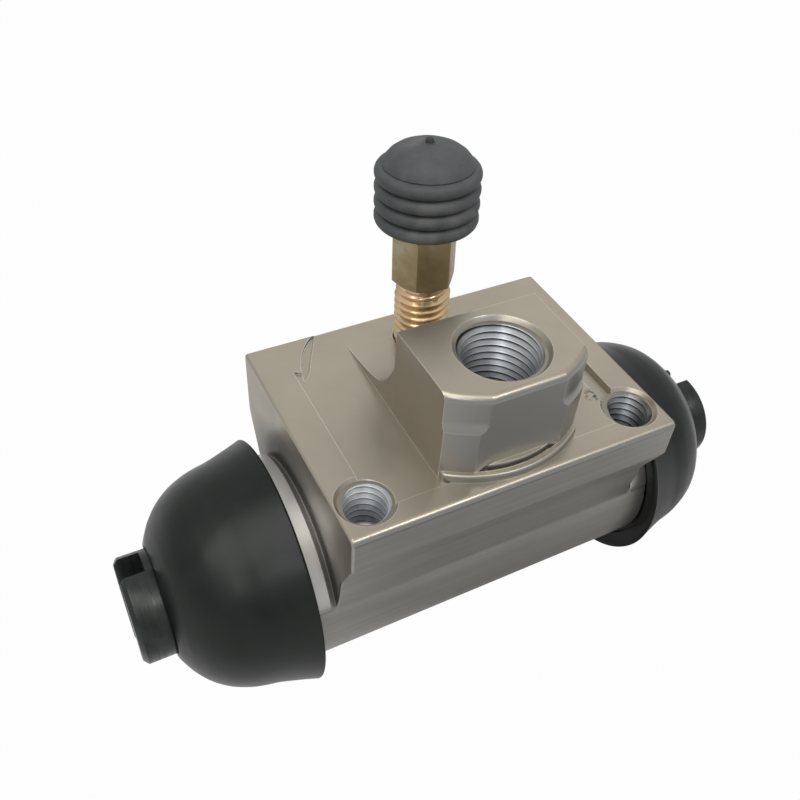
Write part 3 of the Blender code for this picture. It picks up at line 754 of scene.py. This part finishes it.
def make_screw_body():
    """The threaded stem, the nipple, the cone tip and the passage up the middle."""
    steps = 128
    low, high = -4.0, HEX_FOOT - 0.95
    neck, passage = 2.7, 1.0

    def radius_at(phase, z):
        tooth = unit((abs(2 * phase - 1) - 0.12) / 0.76)
        ends = min(unit((high - z) / 0.5), unit((z - low) / 0.8))
        return SCREW_ROOT + SCREW_THREAD * tooth * ends

    breaks = [0.0, 0.03, 0.06, 0.14, 0.25, 0.36, 0.44, 0.56, 0.64, 0.75, 0.86, 0.94, 0.97]
    verts, faces, count = thread_rows(low, high, steps, breaks, radius_at)
    rows = [[j * count + count - 1 for j in range(steps)]]
    for radius, height in (
        (SCREW_ROOT, HEX_FOOT - 0.85), (SCREW_ROOT, HEX_FOOT - 0.3),
        (neck, HEX_FOOT + 0.05), (neck, HEX_TOP - 0.6),
        (2.3, HEX_TOP - 0.4), (2.2, 20.5), (2.6, 21.3), (2.6, 24.2), (2.4, 24.5),
        (passage, 24.5), (passage, 0.0), (0.9, -7.0), (0.9, -7.9), (1.1, -7.9),
        (SCREW_ROOT, -6.1), (SCREW_ROOT, -4.2),
    ):
        rows.append(range(len(verts), len(verts) + steps))
        verts += circle(radius, height, steps)
    rows.append([j * count for j in range(steps)])
    for upper, lower in zip(rows, rows[1:]):
        for j in range(steps):
            k = (j + 1) % steps
            faces.append((upper[j], upper[k], lower[k], lower[j]))
    screw = mesh_object("bleed_screw_body", verts, faces)
    shade(screw, 50.0)
    return bake(screw, along_bleed())


def make_screw_hexagon():
    """The hexagon, with its corners turned off at both ends."""
    corner = HEX_ACROSS / math.cos(math.radians(30.0)) / 2
    flat = 3.35
    corners = arc((0.0, 0.0), corner, HEX_TURN, HEX_TURN + 300.0, 5)
    hexagon = prism("bleed_screw_hexagon", corners, HEX_FOOT, HEX_TOP)
    turning = [
        (0.0, HEX_TOP + 0.2), (flat, HEX_TOP + 0.2), (flat, HEX_TOP),
        (corner + 0.05, HEX_TOP - 0.45), (corner + 0.05, HEX_FOOT + 0.4),
        (flat, HEX_FOOT), (flat, HEX_FOOT - 0.2), (0.0, HEX_FOOT - 0.2),
    ]
    combine(hexagon, lathe("turning", turning), "INTERSECT")
    hole = lathe("hole", [(0.0, 17.0), (2.65, 17.0), (2.65, 7.0), (0.0, 7.0)], 64)
    combine(hexagon, hole, "DIFFERENCE")
    bevel(hexagon, 0.1, 2, 25.0)
    shade(hexagon, 30.0)
    return bake(hexagon, along_bleed())


def make_cap():
    """The ribbed cap, with a dome and a nub on top."""
    valley, ridge = 5.22, 5.42
    outside = [
        (0.0, CAP_DOME + 0.58), (0.36, CAP_DOME + 0.54), (0.47, CAP_DOME + 0.35),
        (0.52, CAP_DOME + 0.1), (0.9, CAP_DOME - 0.02), (1.9, CAP_DOME - 0.16),
        (3.0, CAP_DOME - 0.44), (3.95, CAP_DOME - 0.88), (4.65, CAP_DOME - 1.40),
        (5.10, CAP_DOME - 1.95), (5.30, CAP_DOME - 2.4),
    ]
    for i in range(CAP_RIBS):
        middle = CAP_TOP - (i + 0.5) * CAP_PITCH
        outside.append((valley, middle + CAP_PITCH / 2 - 0.02))
        for degrees in range(70, -71, -20):
            angle = math.radians(degrees)
            outside.append((ridge + 0.76 * math.cos(angle), middle + 0.84 * math.sin(angle)))
    outside += [(valley, CAP_FIRST + 0.02), (5.25, CAP_FIRST - 0.1)]
    outside += [(4.8, CAP_FOOT + 0.08), (4.4, CAP_FOOT)]
    inside = [(2.9, CAP_FOOT), (2.9, 24.8), (0.0, 24.8)]
    cap = lathe("bleed_cap_rubber", outside + inside)
    shade(cap, 50.0)
    return bake(cap, along_bleed())


# Return spring


def spring_point(turn):
    """A point on the middle of the spring's wire, with one closed turn at each end."""
    free = SPRING_TURNS - 2.0
    closed = SPRING_WIRE * 1.15
    if turn < 1.0:
        rise = closed * turn
    elif turn > SPRING_TURNS - 1.0:
        rise = SPRING_LENGTH - closed * (SPRING_TURNS - turn)
    else:
        rise = closed + (SPRING_LENGTH - 2 * closed) * (turn - 1.0) / free
    a = 2 * math.pi * turn
    radius = SPRING_DIAMETER / 2
    return Vector((radius * math.cos(a), radius * math.sin(a), rise - SPRING_LENGTH / 2))


def make_spring_half(name, first, last):
    """Round wire from one turn count to another."""
    around = 12
    count = round((last - first) * 36)
    verts = []
    for i in range(count + 1):
        turn = first + (last - first) * i / count
        middle = spring_point(turn)
        before = spring_point(max(0.0, turn - 0.01))
        after = spring_point(min(SPRING_TURNS, turn + 0.01))
        outward = Vector((middle.x, middle.y, 0.0)).normalized()
        up = (after - before).normalized().cross(outward)
        for j in range(around):
            a = 2 * math.pi * j / around
            verts.append(middle + (outward * math.cos(a) + up * math.sin(a)) * (SPRING_WIRE / 2))
    half = tube(name, verts, around)
    shade(half, 50.0)
    return bake(half, along_bore(1, RIGHT_SET_IN / 2))


# Materials


class Nodes:
    """A short way to build the node tree of a material or a world."""

    def __init__(self, owner):
        owner.use_nodes = True
        self.owner = owner
        self.tree = owner.node_tree

    def feed(self, socket, value):
        if isinstance(value, bpy.types.NodeSocket):
            self.tree.links.new(value, socket)
        else:
            socket.default_value = value

    def add(self, kind, inputs=None, **settings):
        node = self.tree.nodes.new(kind)
        for key, value in settings.items():
            setattr(node, key, value)
        for key, value in (inputs or {}).items():
            self.feed(node.inputs[key], value)
        return node

    def surface(self, **inputs):
        """Feeds the material's shader, with underscores for the spaces of an input's name."""
        shader = self.tree.nodes["Principled BSDF"]
        for key, value in inputs.items():
            self.feed(shader.inputs[key.replace("_", " ")], value)
        return self.owner

    def coords(self, scale):
        """The object's own coordinates, scaled by one number or by one for each axis."""
        if isinstance(scale, float):
            scale = (scale, scale, scale)
        place = self.add("ShaderNodeTexCoord").outputs["Object"]
        return self.add("ShaderNodeMapping", {"Vector": place, "Scale": scale}).outputs["Vector"]

    def part(self, output, axis):
        """One axis of the coordinates or of the surface's direction."""
        vector = self.add("ShaderNodeTexCoord").outputs[output]
        return self.add("ShaderNodeSeparateXYZ", {"Vector": vector}).outputs[axis]

    def distance(self, point, axes=1.0):
        """How far a place is from a point, with axes as the share of each axis that counts."""
        inputs = {0: self.coords(axes), 1: point}
        return self.add("ShaderNodeVectorMath", inputs, operation="DISTANCE").outputs["Value"]

    def noise(self, scale, detail=3.0):
        inputs = {"Vector": self.coords(scale), "Scale": 1.0, "Detail": detail, "Roughness": 0.55}
        return self.add("ShaderNodeTexNoise", inputs).outputs["Fac"]

    def ramp(self, value, stops):
        node = self.add("ShaderNodeValToRGB", {"Fac": value})
        elements = node.color_ramp.elements
        while len(elements) < len(stops):
            elements.new(0.5)
        for element, (position, colour) in zip(elements, stops):
            element.position = position
            element.color = (*colour, 1.0)
        return node.outputs["Color"]

    def mix(self, factor, a, b):
        """From one colour to another by a factor. The second may be a plain value."""
        if isinstance(b, tuple):
            b = (*b, 1.0)
        inputs = {0: factor, 6: a, 7: b}
        return self.add("ShaderNodeMix", inputs, data_type="RGBA").outputs[2]

    def math(self, operation, a, b=0.0):
        return self.add("ShaderNodeMath", {0: a, 1: b}, operation=operation).outputs[0]

    def times(self, a, b):
        """The product of two shares between 0 and 1."""
        settings = {"operation": "MULTIPLY", "use_clamp": True}
        return self.add("ShaderNodeMath", {0: a, 1: b}, **settings).outputs[0]

    def span(self, value, low, high, out_low=0.0, out_high=1.0):
        inputs = {"Value": value, "From Min": low, "From Max": high}
        inputs.update({"To Min": out_low, "To Max": out_high})
        return self.add("ShaderNodeMapRange", inputs).outputs["Result"]

    def bump(self, height, distance, strength, after=None):
        inputs = {"Height": height, "Distance": distance, "Strength": strength}
        if after is not None:
            inputs["Normal"] = after
        return self.add("ShaderNodeBump", inputs).outputs["Normal"]

    def edges(self, radius):
        """1 on sharp outer and inner edges, 0 on flat metal."""
        rounded = self.add("ShaderNodeBevel", {"Radius": radius}, samples=4).outputs["Normal"]
        true = self.add("ShaderNodeNewGeometry").outputs["Normal"]
        dot = self.add("ShaderNodeVectorMath", {0: rounded, 1: true}, operation="DOT_PRODUCT")
        return self.span(dot.outputs["Value"], 0.995, 0.85)


def new_material(name):
    """The nodes of a new material, which starts with the standard shader."""
    return Nodes(bpy.data.materials.new(name))


def alloy():
    """Milled faces, a drawn skin on the sides and the barrel, and bright turned ends, with painted
    shade and painted highlights.
    """
    n = new_material("machined_alloy")
    reach = n.math("ABSOLUTE", n.part("Object", "X"))
    height = n.part("Object", "Z")
    axis = n.distance((0.0, 0.0, BORE_Z * MM), (0.0, 1.0, 1.0))
    milled = n.ramp(
        n.noise(90.0, 4.0),
        [(0.3, (0.375, 0.338, 0.272)), (0.7, (0.418, 0.376, 0.303))],
    )
    drawn = n.ramp(
        n.noise((60.0, 1500.0, 1500.0)),
        [(0.3, (0.345, 0.330, 0.308)), (0.75, (0.408, 0.393, 0.370))],
    )
    # Painted shade: faces turned to the front are painted a darker, greyer alloy colour.
    front = n.span(n.part("Normal", "Y"), -0.5, -0.85)
    milled = n.mix(front, milled, (0.290, 0.284, 0.270))
    below = n.span(height, -0.8 * MM, -1.1 * MM)
    sides = n.span(n.math("ABSOLUTE", n.part("Normal", "X")), 0.75, 0.6)
    skin = n.times(below, sides)
    colour = n.mix(skin, milled, drawn)

    # The turned ends are a brighter finish than the drawn underside of the barrel; this colour is
    # painted only on their upper part and fades out below, as a painted highlight.
    beyond = n.span(reach, (HALF + 0.58) * MM, (HALF + 0.64) * MM)
    turned = n.times(beyond, n.span(axis, (SPIGOT - 0.11) * MM, (SPIGOT - 0.05) * MM))
    bright = n.times(turned, n.span(height, (BORE_Z + 3.4) * MM, (BORE_Z + 7.0) * MM))
    colour = n.mix(bright, colour, (0.60, 0.595, 0.58))

    # The end faces are darker beside the turned ends.
    beside = n.times(n.span(axis, 19.0 * MM, 14.5 * MM), n.span(sides, 0.5, 0.0))
    under = n.times(
        n.span(axis, (SPIGOT - 0.07) * MM, (SPIGOT - 0.20) * MM),
        n.span(reach, (HALF - 0.10) * MM, (HALF - 0.02) * MM),
    )
    under = n.times(under, n.span(height, (BORE_Z + 3.8) * MM, (BORE_Z + 4.5) * MM))
    shadow = n.times(n.math("MAXIMUM", beside, under), 0.85)
    colour = n.mix(shadow, colour, (0.10, 0.094, 0.085))

    # Edges are worn bright and carry a painted highlight, and a dark spot sits beside the right
    # bolt hole.
    colour = n.mix(n.times(n.edges(0.22 * MM), 0.55), colour, (0.86, 0.83, 0.78))
    near = n.span(n.distance((14.7 * MM, -7.9 * MM, -0.2 * MM)), 1.3 * MM, 0.5 * MM)
    swarf = n.times(near, n.span(n.noise(1500.0, 2.0), 0.48, 0.56))
    colour = n.mix(n.times(swarf, 0.85), colour, (0.05, 0.055, 0.045))

    rough = n.span(n.noise(220.0), 0.3, 0.7, 0.29, 0.37)
    rough = n.math("ADD", rough, n.times(skin, 0.10))
    rough = n.math("SUBTRACT", rough, n.times(turned, 0.12))
    strength = n.span(turned, 0.0, 1.0, 0.35, 0.08)
    fine = n.bump(n.noise((50.0, 1800.0, 1800.0), 2.0), 0.008 * MM, strength)
    normal = n.bump(n.noise(160.0), 0.03 * MM, 0.10, fine)
    return n.surface(Base_Color=colour, Roughness=rough, Metallic=0.82, Normal=normal)


def thread_metal(name, x, y, root, high, painted_light_tone):
    """Cut thread round an upright axis, with painted shade in its roots and a painted highlight on
    its crests.
    """
    n = new_material(name)
    radius = n.distance((x * MM, y * MM, 0.0), (1.0, 1.0, 0.0))
    height = n.part("Object", "Z")
    # The colours are scaled by the hole's painted light level.
    dull, light, crest_highlight_colour = [
        tuple(painted_light_tone * c for c in colour)
        for colour in ((0.36, 0.38, 0.40), (0.46, 0.48, 0.50), (0.62, 0.63, 0.64))
    ]
    band = n.ramp(n.noise(900.0), [(0.3, dull), (0.7, light)])
    # Painted highlight: the crests are painted in the lightest colour.
    crest_highlight = n.span(radius, (root - 0.40) * MM, (root - 0.50) * MM)
    band = n.mix(crest_highlight, band, crest_highlight_colour)
    # The flat start of the thread belongs to the chamfer above it.
    start = n.span(height, (high - 0.05) * MM, (high - 0.02) * MM)
    band = n.mix(start, band, (0.30, 0.272, 0.225))
    # Painted shade darkens the thread's roots, below its flat start.
    inside = n.span(height, (high - 0.02) * MM, (high - 0.12) * MM)
    painted_root_shade = n.times(n.span(radius, (root - 0.27) * MM, (root - 0.13) * MM), inside)
    return n.surface(
        Base_Color=n.mix(painted_root_shade, band, (0.03, 0.034, 0.038)),
        Roughness=n.span(n.noise(2500.0), 0.3, 0.7, 0.30, 0.42),
        Metallic=1.0,
        Normal=n.bump(n.noise(3000.0), 0.01 * MM, 0.15),
    )


def piston_steel():
    n = new_material("dark_phosphated_steel")
    rings = n.noise((4500.0, 30.0, 30.0), 2.0)
    stops = [(0.3, (0.026, 0.029, 0.027)), (0.75, (0.048, 0.052, 0.049))]
    return n.surface(
        Base_Color=n.ramp(n.noise(500.0, 4.0), stops),
        Roughness=n.span(rings, 0.25, 0.75, 0.22, 0.42),
        Metallic=0.75,
        Normal=n.bump(rings, 0.03 * MM, 0.6),
    )


def spring_steel():
    n = new_material("drawn_spring_steel")
    return n.surface(
        Base_Color=n.ramp(n.noise(700.0), [(0.3, (0.38, 0.38, 0.37)), (0.7, (0.50, 0.50, 0.48))]),
        Roughness=n.span(n.noise(1500.0), 0.3, 0.7, 0.28, 0.42),
        Metallic=1.0,
        Normal=n.bump(n.noise(2000.0), 0.01 * MM, 0.4),
    )


def gold_steel(name, stops, rough):
    n = new_material(name)
    return n.surface(
        Base_Color=n.ramp(n.noise(330.0), stops),
        Roughness=n.span(n.noise(1500.0), 0.3, 0.7, *rough),
        Metallic=0.85,
        Normal=n.bump(n.noise((2200.0, 2200.0, 300.0)), 0.012 * MM, 0.2),
    )


def boot_rubber():
    n = new_material("moulded_black_rubber")
    cloud = n.noise(260.0, 5.0)
    stops = [(0.35, (0.0045, 0.0068, 0.0052)), (0.75, (0.008, 0.0112, 0.0088))]
    return n.surface(
        Base_Color=n.ramp(cloud, stops),
        Roughness=n.span(cloud, 0.3, 0.7, 0.27, 0.38),
        Specular_IOR_Level=0.30,
        Normal=n.bump(n.noise(1800.0), 0.02 * MM, 0.3),
    )


def cap_rubber():
    """Blue-grey rubber with a pale bloom and a dark nub."""
    n = new_material("blue_grey_cap_rubber")
    cloud = n.noise(500.0, 5.0)
    rubber = n.ramp(cloud, [(0.3, (0.048, 0.051, 0.053)), (0.75, (0.078, 0.081, 0.083))])
    bloom = n.span(n.noise(240.0, 2.0), 0.55, 0.7)
    rubber = n.mix(n.times(bloom, 0.35), rubber, (0.16, 0.16, 0.15))
    nub = n.span(n.part("Object", "Z"), (CAP_DOME - 0.01) * MM, (CAP_DOME + 0.11) * MM)
    return n.surface(
        Base_Color=n.mix(nub, rubber, (0.022, 0.023, 0.022)),
        Roughness=n.span(cloud, 0.3, 0.7, 0.55, 0.72),
        Normal=n.bump(n.noise(2600.0, 4.0), 0.04 * MM, 0.5),
    )


def seal_rubber():
    n = new_material("seal_rubber")
    cloud = n.noise(600.0, 4.0)
    return n.surface(
        Base_Color=n.ramp(cloud, [(0.3, (0.014, 0.014, 0.014)), (0.7, (0.026, 0.026, 0.026))]),
        Roughness=n.span(cloud, 0.3, 0.7, 0.45, 0.6),
        Normal=n.bump(n.noise(2200.0), 0.02 * MM, 0.4),
    )


def dress(obj, finish):
    obj.data.materials.clear()
    obj.data.materials.append(finish)
    for face in obj.data.polygons:
        face.material_index = 0


# Build the pieces

ALLOY = alloy()
STEEL = piston_steel()
BOOT = boot_rubber()
CAP = cap_rubber()
GOLD = gold_steel(
    "yellow_passivated_thread",
    [(0.30, (0.53, 0.41, 0.235)), (0.50, (0.68, 0.51, 0.29)), (0.68, (0.78, 0.54, 0.36))],
    (0.13, 0.22),
)
DULL_GOLD = gold_steel(
    "yellow_passivated_hexagon",
    [(0.32, (0.33, 0.260, 0.140)), (0.50, (0.38, 0.305, 0.175)), (0.66, (0.43, 0.38, 0.27))],
    (0.36, 0.50),
)
SPRING = spring_steel()
SEAL = seal_rubber()

body = make_body()
dress(body, ALLOY)
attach(body, "body")
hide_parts("cylinder_body")

# The last value is painted light: the same cut thread is painted lighter in the left hole and
# darker in the right one.
for name, (x, y), root, high, low, painted_light_tone in (
    ("port_thread", PORT, 5.02, BOSS_TOP - 0.55, BOSS_TOP - 8.9, 1.08),
    ("left_hole_thread", (-HOLE_X, HOLE_Y), 3.03, -0.42, -7.1, 1.45),
    ("right_hole_thread", (HOLE_X, HOLE_Y), 3.03, -0.42, -7.1, 0.72),
):
    piece = move(internal_thread(name, root, low, high), x, y)
    shade(piece, 40.0)
    dress(piece, thread_metal(f"{name}_alloy", x, y, root, high, painted_light_tone))
    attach(piece, "body")

for side, label in ((-1, "left"), (1, "right")):
    piston = make_piston(f"{label}_piston_turned", side)
    dress(piston, STEEL)
    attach(piston, f"{label}_piston_set")
    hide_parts(f"{label}_piston")
    boot = make_boot(f"{label}_boot_rubber", side)
    dress(boot, BOOT)
    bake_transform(boot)
    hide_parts(f"{label}_boot")

screw, hexagon = make_screw_body(), make_screw_hexagon()
for piece, finish in ((screw, GOLD), (hexagon, DULL_GOLD)):
    dress(piece, finish)
    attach(piece, "bleeder")
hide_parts("bleed_screw")

cap = make_cap()
dress(cap, CAP)
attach(cap, "cap")
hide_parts("bleed_cap")

# The return spring shortens from both ends, so it is built as two halves, one for each side.
for side, label, first, last in (
    (-1, "left", 0.0, SPRING_TURNS / 2),
    (1, "right", SPRING_TURNS / 2, SPRING_TURNS),
):
    half = make_spring_half(f"return_spring_{label}_half", first, last)
    dress(half, SPRING)
    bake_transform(half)
    if side < 0:
        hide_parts("return_spring")

for name, finish in (
    ("left_cup_seal", SEAL),
    ("right_cup_seal", SEAL),
    ("left_cup_expander", SPRING),
    ("right_cup_expander", SPRING),
):
    dress(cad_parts[name], finish)


# Stage


def make_floor():
    """A floor that is white to the camera, grey to the part and darker in the metal."""
    work = bmesh.new()
    bmesh.ops.create_grid(work, x_segments=2, y_segments=2, size=3.0)
    floor = bmesh_object("floor", work)
    floor.location.z = FLOOR_Z * MM
    n = new_material("pale_floor")
    n.tree.nodes.clear()
    path = n.add("ShaderNodeLightPath").outputs
    seen = n.math("MULTIPLY", path["Is Camera Ray"], 0.985)
    # The metal sees the floor in the part's own shadow, in front of it, as dark.
    reach = n.distance((16.0 * MM, -38.0 * MM, 0.0))
    fade = n.span(reach, 26.0 * MM, 48.0 * MM, 0.08, 0.66)
    inputs = {0: path["Is Glossy Ray"], 1: fade, 2: seen}
    glowing = n.add("ShaderNodeMath", inputs, operation="MULTIPLY_ADD").outputs[0]
    diffuse = n.add("ShaderNodeBsdfDiffuse", {"Color": (0.25, 0.25, 0.25, 1.0)}).outputs[0]
    white = n.add("ShaderNodeEmission", {"Color": (1.0, 1.0, 1.0, 1.0), "Strength": 1.0})
    mixed = n.add("ShaderNodeMixShader", {0: glowing, 1: diffuse, 2: white.outputs[0]})
    n.add("ShaderNodeOutputMaterial", {"Surface": mixed.outputs[0]})
    dress(floor, n.owner)


def make_world():
    """A grey room, paler overhead, that is white to the camera."""
    world = bpy.data.worlds.new("studio")
    bpy.context.scene.world = world
    n = Nodes(world)
    n.tree.nodes.clear()
    room = n.ramp(n.part("Generated", "Z"), [(0.0, (0.50, 0.50, 0.50)), (1.0, (0.80, 0.80, 0.80))])
    camera_ray = n.add("ShaderNodeLightPath").outputs["Is Camera Ray"]
    colour = n.mix(camera_ray, room, (1.0, 1.0, 1.0))
    back = n.add("ShaderNodeBackground", {"Color": colour, "Strength": 1.0})
    n.add("ShaderNodeOutputWorld", {"Surface": back.outputs[0]})


def soft_light(name, place, size, power, colour=(1.0, 1.0, 1.0)):
    """A flat light that points at the part."""
    data = bpy.data.lights.new(name, "AREA")
    data.shape = "RECTANGLE"
    data.size, data.size_y = size
    data.energy = power
    data.color = colour
    light = link_object(name, data)
    light.location = place
    aim = Vector((0.0, 0.0, -0.01)) - Vector(place)
    light.rotation_euler = aim.to_track_quat("-Z", "Y").to_euler()


def make_camera():
    """The photograph's camera, with its focal length in pixels."""
    yaw, pitch, roll = math.radians(30.20), math.radians(44.08), math.radians(4.55)
    focal, width, sensor = 875.6, 800.0, 36.0
    place = Vector((-45.20, -64.26, 72.91)) * MM
    forward = Vector(
        (math.sin(yaw) * math.cos(pitch), math.cos(yaw) * math.cos(pitch), -math.sin(pitch))
    )
    level = Vector((math.cos(yaw), -math.sin(yaw), 0.0))
    upright = level.cross(forward)
    right = math.cos(roll) * level + math.sin(roll) * upright
    up = -math.sin(roll) * level + math.cos(roll) * upright
    data = bpy.data.cameras.new("camera")
    data.sensor_width = sensor
    data.lens = sensor * focal / width
    data.clip_start = 0.005
    camera = link_object("camera", data)
    matrix = Matrix((right, up, -forward)).transposed().to_4x4()
    matrix.translation = place
    camera.matrix_world = matrix
    bpy.context.scene.camera = camera


make_floor()
make_world()
soft_light("back_window", (0.45, 0.75, 0.55), (0.80, 0.50), 0.40, (1.0, 0.985, 0.96))
soft_light("key", (-0.30, -0.15, 0.70), (0.60, 0.60), 2.4, (1.0, 0.99, 0.98))
soft_light("front", (0.27, -0.42, 0.65), (0.18, 0.18), 1.2)
soft_light("front_left", (-0.35, -0.54, 0.48), (0.14, 0.14), 0.35)
make_camera()
bpy.context.scene.view_settings.view_transform = "Standard"
